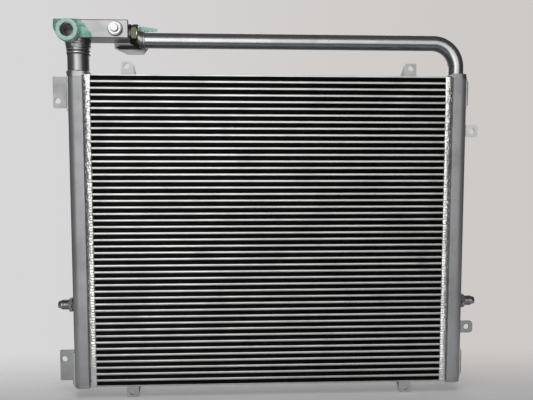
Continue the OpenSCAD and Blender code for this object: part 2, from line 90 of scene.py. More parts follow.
def ramp(tree, source, stops):
    """A colour ramp; stops are (place, grey or colour)."""
    node = tree.nodes.new("ShaderNodeValToRGB")
    band = node.color_ramp
    while len(band.elements) < len(stops):
        band.elements.new(0.5)
    for element, (place, value) in zip(band.elements, stops):
        element.position = place
        element.color = (*value, 1) if hasattr(value, "__len__") else (value, value, value, 1)
    tree.links.new(source, node.inputs["Fac"])
    return node.outputs["Color"]


def mix_colour(tree, factor, a, b, blend="MIX"):
    """A colour mix; factor and the colours are values or other nodes' outputs."""
    node = tree.nodes.new("ShaderNodeMix")
    node.data_type = "RGBA"
    node.blend_type = blend
    for socket, value in (("Factor_Float", factor), ("A_Color", a), ("B_Color", b)):
        target = next(i for i in node.inputs if i.identifier == socket)
        if isinstance(value, bpy.types.NodeSocket):
            tree.links.new(value, target)
        else:
            target.default_value = value if isinstance(value, float) else (*value, 1)
    return next(o for o in node.outputs if o.identifier == "Result_Color")


def add_bump(tree, shader, layers):
    """Stacks bump nodes; each layer is (height, distance, strength)."""
    normal = None
    for height, distance, strength in layers:
        bump = tree.nodes.new("ShaderNodeBump")
        bump.inputs["Distance"].default_value = distance
        bump.inputs["Strength"].default_value = strength
        tree.links.new(height, bump.inputs["Height"])
        if normal is not None:
            tree.links.new(normal, bump.inputs["Normal"])
        normal = bump.outputs["Normal"]
    tree.links.new(normal, shader.inputs["Normal"])


def edge_mask(tree, radius):
    """White where the surface turns sharply within radius, black on the flat."""
    bevel = tree.nodes.new("ShaderNodeBevel")
    bevel.inputs["Radius"].default_value = radius
    bevel.samples = 4
    geometry = tree.nodes.new("ShaderNodeNewGeometry")
    dot = tree.nodes.new("ShaderNodeVectorMath")
    dot.operation = "DOT_PRODUCT"
    tree.links.new(bevel.outputs["Normal"], dot.inputs[0])
    tree.links.new(geometry.outputs["Normal"], dot.inputs[1])
    return ramp(tree, dot.outputs["Value"], [(0.82, 1.0), (0.985, 0.0)])


def metal(name, colour, rough, streak=(1, 1, 1), streak_scale=500.0, spread=0.12, grime=0.25,
          bump=0.5, rough_spread=0.12, edge_wear_and_highlight=0.0, metallic=1.0, anisotropic=0.0):
    """Bare or plated metal: brushing along one axis, cloudy tone, grime in patches, bright edges that are
    partly wear and partly a painted highlight.
    """
    mat, tree, shader = blank_material(name)
    dark = tuple(c * (1 - spread) for c in colour)
    light = tuple(min(1.0, c * (1 + spread)) for c in colour)
    brushed = noise_map(tree, streak_scale, streak, detail=5.0)
    clouds = noise_map(tree, 14.0, distortion=0.6)
    specks = noise_map(tree, 260.0, detail=3.0)
    tone = mix_colour(tree, brushed, dark, light)
    dirt = ramp(tree, clouds, [(0.42, 1.0), (0.72, 1.0 - grime)])
    colour_out = mix_colour(tree, 1.0, tone, dirt, "MULTIPLY")
    pits = ramp(tree, specks, [(0.28, 0.72), (0.36, 1.0)])
    colour_out = mix_colour(tree, 1.0, colour_out, pits, "MULTIPLY")
    # Bright edges: partly wear, partly a painted highlight along every sharp edge.
    if edge_wear_and_highlight:
        mask = edge_mask(tree, 1.2 * MM)
        edged = mix_colour(tree, mask, (0.0, 0.0, 0.0), (edge_wear_and_highlight,) * 3)
        colour_out = mix_colour(tree, 1.0, colour_out, edged, "ADD")
    tree.links.new(colour_out, shader.inputs["Base Color"])
    low, high = max(0.03, rough - rough_spread), min(1.0, rough + rough_spread)
    gloss = mix_colour(tree, clouds, (low,) * 3, (high,) * 3)
    gloss = mix_colour(tree, 0.35, gloss, ramp(tree, brushed, [(0.3, low), (0.7, high)]))
    tree.links.new(gloss, shader.inputs["Roughness"])
    shader.inputs["Metallic"].default_value = metallic
    shader.inputs["Anisotropic"].default_value = anisotropic
    add_bump(tree, shader, [(brushed, 0.1 * MM, bump), (specks, 0.15 * MM, bump * 0.5)])
    return mat


def rubber(name):
    """Black rubber with a fine grain and pale dust."""
    mat, tree, shader = blank_material(name)
    grain = noise_map(tree, 900.0)
    dust = noise_map(tree, 40.0, detail=5.0)
    tree.links.new(ramp(tree, dust, [(0.35, 0.012), (0.75, 0.045)]), shader.inputs["Base Color"])
    tree.links.new(ramp(tree, grain, [(0.3, 0.55), (0.7, 0.8)]), shader.inputs["Roughness"])
    add_bump(tree, shader, [(grain, 0.1 * MM, 0.4)])
    return mat


def film_material(name, thin, thick, alpha, stretch=(1, 1, 1)):
    """Crumpled green protective film: cloudy colour, thin places that show what is under it."""
    mat, tree, shader = blank_material(name)
    folds = noise_map(tree, 120.0, stretch, detail=5.0, distortion=1.2)
    fine = noise_map(tree, 420.0, detail=3.0)
    tree.links.new(ramp(tree, folds, [(0.3, thin), (0.62, thick)]), shader.inputs["Base Color"])
    tree.links.new(ramp(tree, folds, [(0.25, alpha * 0.7), (0.6, alpha)]), shader.inputs["Alpha"])
    tree.links.new(ramp(tree, fine, [(0.3, 0.18), (0.7, 0.4)]), shader.inputs["Roughness"])
    shader.inputs["Coat Weight"].default_value = 0.4
    shader.inputs["Coat Roughness"].default_value = 0.15
    add_bump(tree, shader, [(folds, 1.2 * MM, 0.7), (fine, 0.2 * MM, 0.3)])
    return mat


ALONG_X = (0.03, 1, 1)
ALONG_Z = (1, 1, 0.03)
MATERIALS = {
    "bars": metal("bar_aluminium", (0.60, 0.60, 0.59), 0.34, ALONG_X, streak_scale=700, spread=0.10,
                  grime=0.22),
    "sheet": metal("sheet_aluminium", (0.74, 0.74, 0.74), 0.42, ALONG_X),
    "fins": metal("fin_black", (0.030, 0.030, 0.032), 0.46, streak_scale=300, spread=0.4, grime=0.4,
                  bump=0.4, metallic=0.35),
    "turbulator": metal("turbulator_aluminium", (0.55, 0.55, 0.55), 0.45, streak_scale=300),
    "tank": metal("tank_aluminium", (0.42, 0.425, 0.44), 0.44, ALONG_Z, streak_scale=420, spread=0.10,
                  grime=0.16, bump=0.7, metallic=0.78, anisotropic=0.2),
    "cap": metal("cap_aluminium", (0.46, 0.465, 0.475), 0.40, streak_scale=160, grime=0.2, bump=0.9),
    "weld": metal("weld_aluminium", (0.84, 0.84, 0.83), 0.30, streak_scale=220, spread=0.07, grime=0.18,
                  bump=0.9, rough_spread=0.14),
    # Dark metal that is painted shade: the groove at each tank's joint with the core and the gaps beside the
    # neck collar's rings.
    "seam": metal("groove_shade_aluminium", (0.20, 0.20, 0.21), 0.5, streak_scale=240, spread=0.2, grime=0.35,
                  bump=1.0),
    "tube": metal("tube_aluminium", (0.51, 0.52, 0.54), 0.27, ALONG_X, streak_scale=380, spread=0.08,
                  grime=0.14, bump=0.35, rough_spread=0.08),
    "neck": metal("neck_aluminium", (0.40, 0.41, 0.43), 0.36, ALONG_Z, streak_scale=380, spread=0.08,
                  grime=0.16, bump=0.4, rough_spread=0.08),
    "block": metal("block_aluminium", (0.40, 0.405, 0.415), 0.36, ALONG_X, streak_scale=620, spread=0.20,
                   grime=0.16, bump=0.8),
    "bracket": metal("bracket_aluminium", (0.46, 0.47, 0.47), 0.50, streak_scale=340, spread=0.10,
                     grime=0.22, bump=0.9, edge_wear_and_highlight=0.10),
    "lug": metal("lug_aluminium", (0.84, 0.84, 0.84), 0.5, streak_scale=340, spread=0.10, grime=0.2,
                 bump=0.9, edge_wear_and_highlight=0.06),
    "tab": metal("tab_aluminium", (0.56, 0.56, 0.56), 0.5, streak_scale=340, grime=0.2, bump=0.9),
    "fitting": metal("fitting_steel", (0.46, 0.46, 0.48), 0.26, streak_scale=300, spread=0.10, grime=0.2,
                     bump=0.4),
    "chrome": metal("plated_steel", (0.46, 0.46, 0.47), 0.18, streak_scale=300, spread=0.05, grime=0.10,
                    bump=0.2, rough_spread=0.06),
    "yellow": metal("zinc_yellow", (0.125, 0.117, 0.072), 0.36, streak_scale=200, spread=0.22, grime=0.3,
                    bump=0.4, edge_wear_and_highlight=0.25),
    "dark": metal("dark_steel", (0.16, 0.16, 0.17), 0.42, streak_scale=260, spread=0.2, grime=0.3,
                  bump=0.6, edge_wear_and_highlight=0.08),
    "brass": metal("valve_brass", (0.72, 0.55, 0.25), 0.25, ALONG_X, streak_scale=400, spread=0.1,
                   grime=0.2, bump=0.4),
    "rubber": rubber("black_rubber"),
    "bright_weld": metal("bright_weld_aluminium", (0.80, 0.80, 0.80), 0.20, streak_scale=200,
                         spread=0.06, grime=0.1, bump=0.3),
    "rough_weld": metal("rough_weld_aluminium", (0.40, 0.40, 0.40), 0.36, streak_scale=150, spread=0.3,
                        grime=0.4, bump=1.0),
    "film": film_material("green_film", (0.55, 0.86, 0.74), (0.15, 0.42, 0.33), 0.92, (0.3, 1, 1)),
    "deep_film": film_material("deep_green_film", (0.28, 0.55, 0.46), (0.045, 0.18, 0.14), 0.94),
    "pale_film": film_material("pale_green_film", (0.70, 0.93, 0.85), (0.36, 0.68, 0.58), 0.95),
}


# ---------- Building pieces ----------

def add_piece(name, verts, faces, material, slot, replaced=(), smooth=True):
    """Makes a mesh object in the row frame, gives it its material and rides it on the cooler."""
    mesh = bpy.data.meshes.new(name)
    mesh.from_pydata(verts, [], faces)
    mesh.validate()
    if smooth:
        mesh.shade_smooth()
    mesh.materials.append(MATERIALS[material])
    obj = bpy.data.objects.new(name, mesh)
    bpy.context.scene.collection.objects.link(obj)
    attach(obj, BODY)
    if replaced:
        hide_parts(*replaced)
    return obj


def tube_shell(rings, closed=False):
    """The shell through a stack of equal rings of points, capped at both ends unless it is a loop."""
    count, sides = len(rings), len(rings[0])
    verts = [v for ring in rings for v in ring]
    faces = []
    for i in range(count if closed else count - 1):
        a, b = i * sides, (i + 1) % count * sides
        for k in range(sides):
            n = (k + 1) % sides
            faces.append((a + k, a + n, b + n, b + k))
    if not closed:
        faces.append(tuple(reversed(range(sides))))
        faces.append(tuple((count - 1) * sides + k for k in range(sides)))
    return verts, faces


def merged(shells):
    """Joins several (verts, faces) into one."""
    verts, faces = [], []
    for part_verts, part_faces in shells:
        base = len(verts)
        verts += part_verts
        faces += [tuple(base + i for i in face) for face in part_faces]
    return verts, faces


def frames_along(path, side):
    """Each point of a path with its two cross directions; the first is as near to side as it can be."""
    found = []
    for i, point in enumerate(path):
        tangent = (path[min(i + 1, len(path) - 1)] - path[max(i - 1, 0)]).normalized()
        across = (side - tangent * side.dot(tangent)).normalized()
        found.append((point, across, tangent.cross(across)))
    return found


def ripple(s, pitch):
    """The height of a row of weld ripples, 0 to 1: each has a quick rise and a slower fall."""
    t = s / pitch % 1.0
    return math.sin(math.pi * t ** 0.7)


def weld_cord(path, radius, side=UP, pitch=3.2 * MM, closed=False, seed=0.0):
    """A weld bead along a path: a round cord whose girth ripples, half sunk in the joint."""
    step, sides = 0.8 * MM, 8
    points = [path[0]]
    for a, b in zip(path, path[1:] + path[:1] if closed else path[1:]):
        count = max(1, round((b - a).length / step))
        points += [a.lerp(b, k / count) for k in range(1, count + 1)]
    if closed:
        points.pop()
    rings, run = [], 0.0
    for i, (point, across, over) in enumerate(frames_along(points, side)):
        run += (point - points[i - 1]).length if i else 0.0
        size = radius * (0.86 + 0.24 * ripple(run, pitch))
        size *= 1 + 0.22 * noise.noise(point * 170 + Vector((seed, 0, 0)))
        rings.append([point + size * (math.cos(a) * across + math.sin(a) * over)
                      for a in (2 * math.pi * k / sides for k in range(sides))])
    return tube_shell(rings, closed)


def circle_path(centre, radius, axis):
    """Points round a circle about an axis."""
    turn = axis.to_track_quat("Z", "Y").to_matrix()
    count = 48
    return [centre + turn @ Vector((radius * math.cos(a), radius * math.sin(a), 0))
            for a in (2 * math.pi * k / count for k in range(count))]


def lathe(centre, axis, profile):
    """A turned shell: profile is a closed loop of (distance along the axis, radius)."""
    turn = axis.to_track_quat("Z", "Y").to_matrix()
    sides = 64
    rings = []
    for i in range(sides):
        a = 2 * math.pi * i / sides
        rings.append([centre + turn @ Vector((r * math.cos(a), r * math.sin(a), z))
                      for z, r in profile])
    return tube_shell(rings, closed=True)


def thread(centre, axis, radius, length, pitch, depth, outward=True):
    """A screw thread: a three-sided ridge wound in a helix on a round face."""
    turn = axis.to_track_quat("Z", "Y").to_matrix()
    per_turn = 28
    sign = 1 if outward else -1
    root, crest = radius - 0.1 * MM * sign, radius + depth * sign
    half_width = 0.45 * pitch
    rings = []
    for i in range(int(length / pitch * per_turn) + 1):
        a = 2 * math.pi * i / per_turn
        z = pitch * i / per_turn
        rings.append([centre + turn @ Vector((r * math.cos(a), r * math.sin(a), z + dz))
                      for r, dz in ((root, -half_width), (crest, 0.0), (root, half_width))])
    return tube_shell(rings)


def dress(node, material, bevel):
    """Gives a CAD node its material, smooth rounds and softened edges."""
    obj = NODES[node]
    obj.data.materials.clear()
    obj.data.materials.append(MATERIALS[material])
    for attribute in ("custom_normal", "sharp_face", "sharp_edge"):
        found = obj.data.attributes.get(attribute)
        if found is not None:
            obj.data.attributes.remove(found)
    weld = obj.modifiers.new("join_corners", "WELD")
    weld.merge_threshold = 0.004 * MM
    soften = obj.modifiers.new("soft_edges", "BEVEL")
    soften.width = bevel
    soften.segments = 2
    soften.limit_method = "ANGLE"
    soften.angle_limit = math.radians(32)
    soften.harden_normals = True
    soften.use_clamp_overlap = True
    soften.miter_outer = "MITER_ARC"


# ---------- Measures taken from the frame ----------

FINS_LOW, FINS_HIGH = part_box("air_fins")
BARS_LOW, BARS_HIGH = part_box("oil_bars_front")
TANK_LOW, TANK_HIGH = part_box("right_tank_shell")
NECK_LOW, NECK_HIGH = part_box("neck_tube")
BLOCK_LOW, BLOCK_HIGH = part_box("port_block")
PLATE_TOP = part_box("top_side_plate")[1].z
PLATE_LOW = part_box("bottom_side_plate")[0].z
AIR_ROWS = 48
OIL_ROWS = 47
AIR_H = 10 * MM
BAR_H = 4 * MM
SHEET_T = 0.8 * MM
PITCH = (FINS_HIGH.z - FINS_LOW.z - AIR_H) / (AIR_ROWS - 1)
FRONT_Y, REAR_Y = FINS_LOW.y, FINS_HIGH.y
TANK_OUT = TANK_HIGH.x
TANK_X = (TANK_LOW.x + TANK_HIGH.x) / 2
TANK_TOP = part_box("right_tank_top_cap")[1].z
NECK_R = (NECK_HIGH.x - NECK_LOW.x) / 2
NECK_FOOT = Vector((-TANK_X, 0, TANK_TOP))
MOUNTS = {m["name"]: m for m in frame["record"]["mounts"]}


def mount_point(name):
    """Where a mount of the record is."""
    return Vector(MOUNTS[name]["pos_m"])


FRONT_PORT = mount_point("front_port")
REAR_PORT = mount_point("rear_port")
BLOCK_FACE = 27 * MM    # the block's front and rear faces, from the middle plane
BLOCK_FOOT = FRONT_PORT.z - 13.5 * MM    # the block's underside, beside the neck's socket
FRONT_BOSS_R = 24 * MM
REAR_BOSS_R = 22 * MM


# ---------- Core ----------

def fin_strip(z):
    """One wavy fin strip: a sharp zigzag across the core that sways from side to side with depth."""
    fold, metal_h, sway = 2.2 * MM, 0.5 * MM, 5 * MM
    inset, hair = 0.4 * MM, 0.01 * MM
    count = round((FINS_HIGH.x - FINS_LOW.x) / fold)
    depth_steps = 4
    verts, faces = [], []
    for j in range(depth_steps + 1):
        y = FRONT_Y + inset + (REAR_Y - FRONT_Y - 2 * inset) * j / depth_steps
        for lift in (0.0, metal_h):
            for i in range(count + 1):
                x = FINS_LOW.x + fold * i + sway * (j % 2)
                x = min(max(x, FINS_LOW.x + hair * i), FINS_HIGH.x - hair * (count - i))
                verts.append((x, y, z + lift + (AIR_H - metal_h) * (i % 2)))
    row = count + 1
    for j in range(depth_steps):
        a = j * 2 * row
        b = a + 2 * row
        for i in range(count):
            faces.append((a + i, b + i, b + i + 1, a + i + 1))
            faces.append((a + row + i, a + row + i + 1, b + row + i + 1, b + row + i))
        faces.append((a, a + row, b + row, b))
        faces.append((a + count, b + count, b + row + count, a + row + count))
    last = depth_steps * 2 * row
    for i in range(count):
        faces.append((i, i + 1, row + i + 1, row + i))
        faces.append((last + i, last + row + i, last + row + i + 1, last + i + 1))
    return verts, faces


def make_fins():
    """The fins of all air rows, in three pieces of equal height."""
    bands = ("lower", "middle", "upper")
    rows = AIR_ROWS // len(bands)
    for k, band in enumerate(bands):
        strips = [fin_strip(FINS_LOW.z + PITCH * i) for i in range(k * rows, (k + 1) * rows)]
        replaced = ("air_fins",) if k == 0 else ()
        add_piece("wavy_fins_" + band, *merged(strips), "fins", "fin_aluminium", replaced, smooth=False)


def bar_shell(z, face_y, inward, seed):
    """One oil channel bar: its nose is rounded over the brazed edges of both sheets."""
    depth, nose_h = 6 * MM, BAR_H / 2 + SHEET_T - 0.05 * MM
    lip, edge, cheek, tip = 0.1 * MM, -0.25 * MM, -0.55 * MM, -0.68 * MM
    outline = [(depth, -BAR_H / 2), (lip, -BAR_H / 2), (lip, -nose_h), (edge, -nose_h),
               (cheek, -nose_h * 0.72), (tip, 0.0), (cheek, nose_h * 0.72),
               (edge, nose_h), (lip, nose_h), (lip, BAR_H / 2), (depth, BAR_H / 2)]
    stations = 56
    rings = []
    for i in range(stations + 1):
        x = BARS_LOW.x + (BARS_HIGH.x - BARS_LOW.x) * i / stations
        wobble = noise.noise(Vector((x * 14, seed, 0.3)))
        fine = noise.noise(Vector((x * 60, seed, 7.1)))
        out = (0.12 * wobble + 0.05 * fine) * MM
        lift = 0.12 * fine * MM
        rings.append([Vector((x, face_y + inward * (d - (out if d < 0 else 0)),
                              z + h + (lift if d < 0 else 0))) for d, h in outline])
    return tube_shell(rings)


def make_bars():
    """The bars of all oil rows, front and rear."""
    first = FINS_LOW.z + AIR_H + SHEET_T + BAR_H / 2
    for node, face_y, inward in (("oil_bars_front", FRONT_Y, 1), ("oil_bars_rear", REAR_Y, -1)):
        shells = [bar_shell(first + PITCH * i, face_y, inward, i * 3.7 + inward) for i in range(OIL_ROWS)]
        add_piece(node + "_brazed", *merged(shells), "bars", "bar_aluminium", (node,))


# ---------- Welds between the core and the tanks ----------

def flat_bead(a, b, out, width, height, roughness, seed):
    """A wide weld bead laid on a face from a to b, with crescent ripples and ragged edges."""
    step, columns, pitch = 1.0 * MM, 12, 6.5 * MM
    crescent = 2.6 * MM
    count = round((b - a).length / step)
    rings = []
    for i in range(count + 1):
        spot = a.lerp(b, i / count)
        run = (spot - a).length
        rough_share = roughness(spot)
        end = min(1.0, 0.35 + 8 * min(i, count - i) / count)
        ring = []
        for k in range(columns + 1):
            u = -1 + 2 * k / columns
            dome = math.sqrt(max(0.0, 1 - u * u))
            wave = ripple(run - crescent * (1 - u * u), pitch)
            rough = noise.noise(Vector((run * 210, u * 2.2, seed)))
            lump = noise.noise(Vector((run * 45, u * 0.8, seed + 9)))
            rise = dome * (0.60 + rough_share * (0.34 * wave + 0.30 * rough) + 0.18 * lump)
            ragged = 1 + 0.10 * noise.noise(Vector((run * 120, seed, u)))
            ring.append(spot + RIGHT * (u * width / 2 * ragged) + out * (height * rise * end))
        ring += [spot + RIGHT * (width * 0.45) - out * MM, spot - RIGHT * (width * 0.45) - out * MM]
        rings.append(ring)
    return tube_shell(rings)


def evenly_rough(_spot):
    """A weld that is equally rough everywhere."""
    return 1.0


def smooth_foot(spot):
    """The left tank's welds run smoother near their foot."""
    near_foot = max(0.0, 1 - (spot.z - PLATE_LOW) / (110 * MM))
    return 1.0 - 0.75 * min(1.0, near_foot * 2)


def make_tank_welds():
    """The four weld strips of each tank, and two dark cords at its joint with the core that are painted
    shade of the groove there.
    """
    for side, name, roughness in ((-1, "left", smooth_foot), (1, "right", evenly_rough)):
        low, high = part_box(name + "_tank_welds")
        x = (low.x + high.x) / 2
        width = (high.x - low.x) * 1.04
        shells = []
        for out, y in ((FRONT, FRONT_Y), (-FRONT, REAR_Y)):
            shells.append(flat_bead(Vector((x, y, PLATE_LOW)), Vector((x, y, PLATE_TOP)), out, width,
                                    3.0 * MM, roughness, side * 5 + y * 90))
        for out, z in ((UP, PLATE_TOP), (-UP, PLATE_LOW)):
            shells.append(flat_bead(Vector((x, FRONT_Y, z)), Vector((x, REAR_Y, z)), out, width,
                                    2.4 * MM, evenly_rough, side * 7 + z))
        add_piece(name + "_tank_weld_beads", *merged(shells), "weld", "weld_bead", (name + "_tank_welds",))
        # Dark cords down the tank's joint with the core: painted shade of the groove there.
        joint = side * (TANK_LOW.x - 0.6 * MM)
        end = 2 * MM
        groove_shade_cords = [weld_cord([Vector((joint, y, PLATE_LOW + end)), Vector((joint, y, PLATE_TOP - end))],
                           1.9 * MM, RIGHT, pitch=4.5 * MM, seed=side + y) for y in (FRONT_Y, REAR_Y)]
        add_piece(name + "_tank_groove_shade_cords", *merged(groove_shade_cords), "seam", "weld_bead")


# ---------- Bracket welds ----------

def pad_loop(node, side):
    """The line round a side pad's foot, where it meets the tank."""
    low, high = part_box(node)
    x = side * TANK_OUT
    y0, y1 = FRONT_Y + 16 * MM, REAR_Y - 16 * MM
    return [Vector((x, y0, low.z)), Vector((x, y0, high.z)), Vector((x, y1, high.z)), Vector((x, y1, low.z))]


def make_pad_welds():
    """A bead round each side pad."""
    pads = (("upper_left_bracket", -1), ("lower_left_bracket", -1), ("upper_right_pad", 1),
            ("lower_right_pad", 1))
    cords = [weld_cord(pad_loop(node, side), 1.9 * MM, UP + FRONT * 0.3, pitch=3.4 * MM, closed=True, seed=k)
             for k, (node, side) in enumerate(pads)]
    add_piece("pad_welds", *merged(cords), "weld", "weld_bead")


def make_root_welds():
    """A bead down both sides of each T bracket's flange and of each lug."""
    cords = []
    for node in ("upper_left_bracket", "lower_left_bracket"):
        low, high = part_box(node)
        x = -TANK_OUT - 5 * MM
        for y in (-4 * MM, 0.0):
            cords.append(weld_cord([Vector((x, y, low.z + 10 * MM)), Vector((x, y, high.z - 8 * MM))],
                                   1.7 * MM, FRONT, seed=y * 500))
    for node in ("upper_right_lug", "lower_right_lug"):
        low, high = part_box(node)
        for y in (low.y, high.y):
            cords.append(weld_cord([Vector((TANK_OUT, y, low.z + MM)), Vector((TANK_OUT, y, high.z - MM))],
                                   1.9 * MM, FRONT, seed=y * 500))
    add_piece("flange_and_lug_welds", *merged(cords), "weld", "weld_bead")


def make_tab_welds():
    """Beads at the foot of each tab's plate, front and back, and along its gusset."""
    plate_t, radius, pitch = 4 * MM, 1.4 * MM, 2.8 * MM
    cords = []
    for node in ("top_left_tab", "top_right_tab", "bottom_left_tab", "bottom_right_tab"):
        low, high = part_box(node)
        z = PLATE_TOP if node.startswith("top") else PLATE_LOW
        for y in (low.y, low.y + plate_t):
            cords.append(weld_cord([Vector((low.x + MM, y, z)), Vector((high.x - MM, y, z))],
                                   radius, UP, pitch, seed=low.x * 9))
        inner = low.x if low.x > 0 else high.x
        cords.append(weld_cord([Vector((inner, low.y + 6 * MM, z)), Vector((inner, high.y - 2 * MM, z))],
                               radius, UP, pitch, seed=high.x * 9))
    add_piece("tab_welds", *merged(cords), "weld", "weld_bead")


# ---------- Neck and pipe welds ----------

def make_neck_welds():
    """The bead at the neck's foot, and the collar's two bright rings with dark bands beside them that are
    painted shade in the gaps.
    """
    base = weld_cord(circle_path(NECK_FOOT + UP * 1.8 * MM, NECK_R + 0.6 * MM, UP), 2.9 * MM,
                     pitch=5 * MM, closed=True)
    add_piece("neck_base_weld", *base, "bright_weld", "weld_bead")
    low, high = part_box("neck_collar")
    axis_foot = Vector((-TANK_X, 0, 0))
    ring_r = 2.2 * MM
    inside = NECK_R - 0.4 * MM
    rings = []
    for z in (low.z + ring_r, high.z - ring_r):
        profile = [(z - ring_r, inside)]
        profile += [(z - ring_r * math.cos(a), NECK_R + ring_r * math.sin(a))
                    for a in (math.pi * k / 10 for k in range(1, 10))]
        profile += [(z + ring_r, inside)]
        rings.append(lathe(axis_foot, UP, profile))
    add_piece("neck_collar_rings", *merged(rings), "bright_weld", "weld_bead", ("neck_collar",))
    # Dark bands in the gap between the rings and under the lower one: painted shade.
    half, outside = 1.4 * MM, NECK_R + 0.5 * MM
    shade_band = [(-half, inside), (-half, outside), (half, outside), (half, inside)]
    shade_bands = [lathe(axis_foot + UP * z, UP, shade_band) for z in ((low.z + high.z) / 2, low.z - 1.2 * MM)]
    add_piece("neck_collar_shade_bands", *merged(shade_bands), "seam", "weld_bead")


def make_pipe_welds():
    """The beads at the return pipe's foot and round its end sleeve."""
    low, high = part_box("return_pipe_base_ring")
    pipe_r = (high.x - low.x) / 2 - 3 * MM
    foot = Vector(((low.x + high.x) / 2, 0, low.z + 1.2 * MM))
    foot_weld = weld_cord(circle_path(foot, pipe_r + 0.8 * MM, UP), 2.3 * MM, closed=True)
    add_piece("return_pipe_base_weld", *foot_weld, "weld", "weld_bead", ("return_pipe_base_ring",))
    sleeve_end = Vector((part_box("pipe_end_sleeve")[1].x, 0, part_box("return_pipe")[1].z - pipe_r))
    sleeve_weld = weld_cord(circle_path(sleeve_end, pipe_r + 0.7 * MM, RIGHT), 1.8 * MM, closed=True)
    add_piece("pipe_sleeve_weld", *sleeve_weld, "weld", "weld_bead")


def make_boss_welds():
    """A bead round each fitting's boss."""
    cords = []
    for side, name in ((-1, "left"), (1, "right")):
        low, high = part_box(name + "_fitting_boss")
        centre = Vector((side * TANK_OUT, 0, (low.z + high.z) / 2))
        cords.append(weld_cord(circle_path(centre, (high.z - low.z) / 2, RIGHT), 1.8 * MM, closed=True,
                               seed=side))
    add_piece("fitting_boss_welds", *merged(cords), "weld", "weld_bead")


def make_slotted_bracket_weld():
    """The bead where the slotted bracket meets the block's underside."""
    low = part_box("slotted_bracket")[0]
    start = Vector((low.x + MM, low.y, BLOCK_FOOT))
    stop = Vector((BLOCK_HIGH.x - MM, low.y, BLOCK_FOOT))
    add_piece("slotted_bracket_weld", *weld_cord([start, stop], 1.8 * MM), "weld", "weld_bead")


# ---------- Port block, fittings, union and valve ----------

def make_threads():
    """The screw threads on both fittings and in both ports."""
    fitting_r, thread_foot, runout = 12.0 * MM, 15.6 * MM, 2.6 * MM
    shells = []
    for name, side in (("left", -1), ("right", 1)):
        mount = name + "_fitting_thread"
        length = MOUNTS[mount]["dims"]["length_mm"] * MM - runout
        start = Vector((side * (TANK_OUT + thread_foot), 0, mount_point(mount).z))
        shells.append(thread(start, RIGHT * side, fitting_r, length, pitch=1.5 * MM, depth=0.45 * MM))
    add_piece("fitting_threads", *merged(shells), "fitting", "plated_steel", smooth=False)
    port_r, port_depth, port_length = 15.65 * MM, 25 * MM, 21 * MM
    shells = []
    for mouth, out in ((FRONT_PORT, FRONT), (REAR_PORT, -FRONT)):
        shells.append(thread(mouth - out * port_depth, out, port_r, port_length, pitch=2.1 * MM,
                             depth=0.9 * MM, outward=False))
    add_piece("port_threads", *merged(shells), "block", "block_aluminium", smooth=False)


def make_front_boss_fillet():
    """The small bead round the root of the front boss."""
    root = Vector((FRONT_PORT.x, -BLOCK_FACE, FRONT_PORT.z))
    fillet = weld_cord(circle_path(root, FRONT_BOSS_R, FRONT), 1.1 * MM, pitch=2.4 * MM, closed=True)
    add_piece("front_boss_fillet", *fillet, "block", "block_aluminium")


def make_union_nut_end():
    """The bright ring at the union nut's end, and the dark rim round it."""
    low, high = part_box("union_nut")
    face = Vector((high.x, 0, (low.z + high.z) / 2))
    ring = [(-4.0 * MM, 21.5 * MM), (-4.0 * MM, 22.9 * MM), (-0.5 * MM, 21.9 * MM), (0.3 * MM, 21.0 * MM),
            (0.3 * MM, 17.2 * MM), (-0.2 * MM, 17.2 * MM)]
    add_piece("union_nut_face", *lathe(face, RIGHT, ring), "bright_weld", "plated_steel")
    rim = [(-0.4 * MM, 21.2 * MM), (-0.4 * MM, 22.4 * MM), (0.5 * MM, 22.2 * MM), (0.5 * MM, 20.9 * MM)]
    add_piece("union_nut_rim", *lathe(face, RIGHT, rim), "dark", "plated_steel")


def make_gallery_plug_shade_ring():
    """The dark ring where the front plug's small head meets its flange: painted shade at the head's foot."""
    centre = Vector((REAR_PORT.x, -BLOCK_FACE - 9 * MM, REAR_PORT.z))
    # Painted shade: a dark ring just outside the plug's head.
    half, inside, outside = 0.2 * MM, 8.6 * MM, 9.8 * MM
    shade_band = [(-half, inside), (half, inside), (half, outside), (-half, outside)]
    add_piece("gallery_plug_shade_ring", *lathe(centre, FRONT, shade_band), "dark", "plated_steel")


def make_socket_welds():
    """The lumpy weld metal built up round the neck's socket under the port block."""
    socket_r, front_limit = 28 * MM, 27.2 * MM
    top = BLOCK_FOOT + 0.5 * MM
    drop = top - BLOCK_LOW.z - 0.5 * MM
    levels, sides = 16, 150
    rings = []
    for j in range(levels + 1):
        v = j / levels
        ring = []
        for i in range(sides):
            a = 2 * math.pi * i / sides
            spot = Vector((math.cos(a) * socket_r, math.sin(a) * socket_r, top - drop * v))
            lump = 0.5 + 0.5 * noise.noise(spot * 120) + 0.35 * noise.noise(spot * 330)
            wave = ripple(drop * v + 1.5 * MM * noise.noise(spot * 60), 5.6 * MM)
            r = socket_r + (0.6 - v + (1.1 * lump + wave) * math.sin(math.pi * min(1.0, 0.08 + v))) * MM
            y = max(-front_limit - 1.6 * MM * lump * wave, min(front_limit, r * math.sin(a)))
            ring.append(Vector((-TANK_X + r * math.cos(a), y, spot.z)))
        rings.append(ring)
    add_piece("socket_welds", *tube_shell(rings), "rough_weld", "weld_bead")


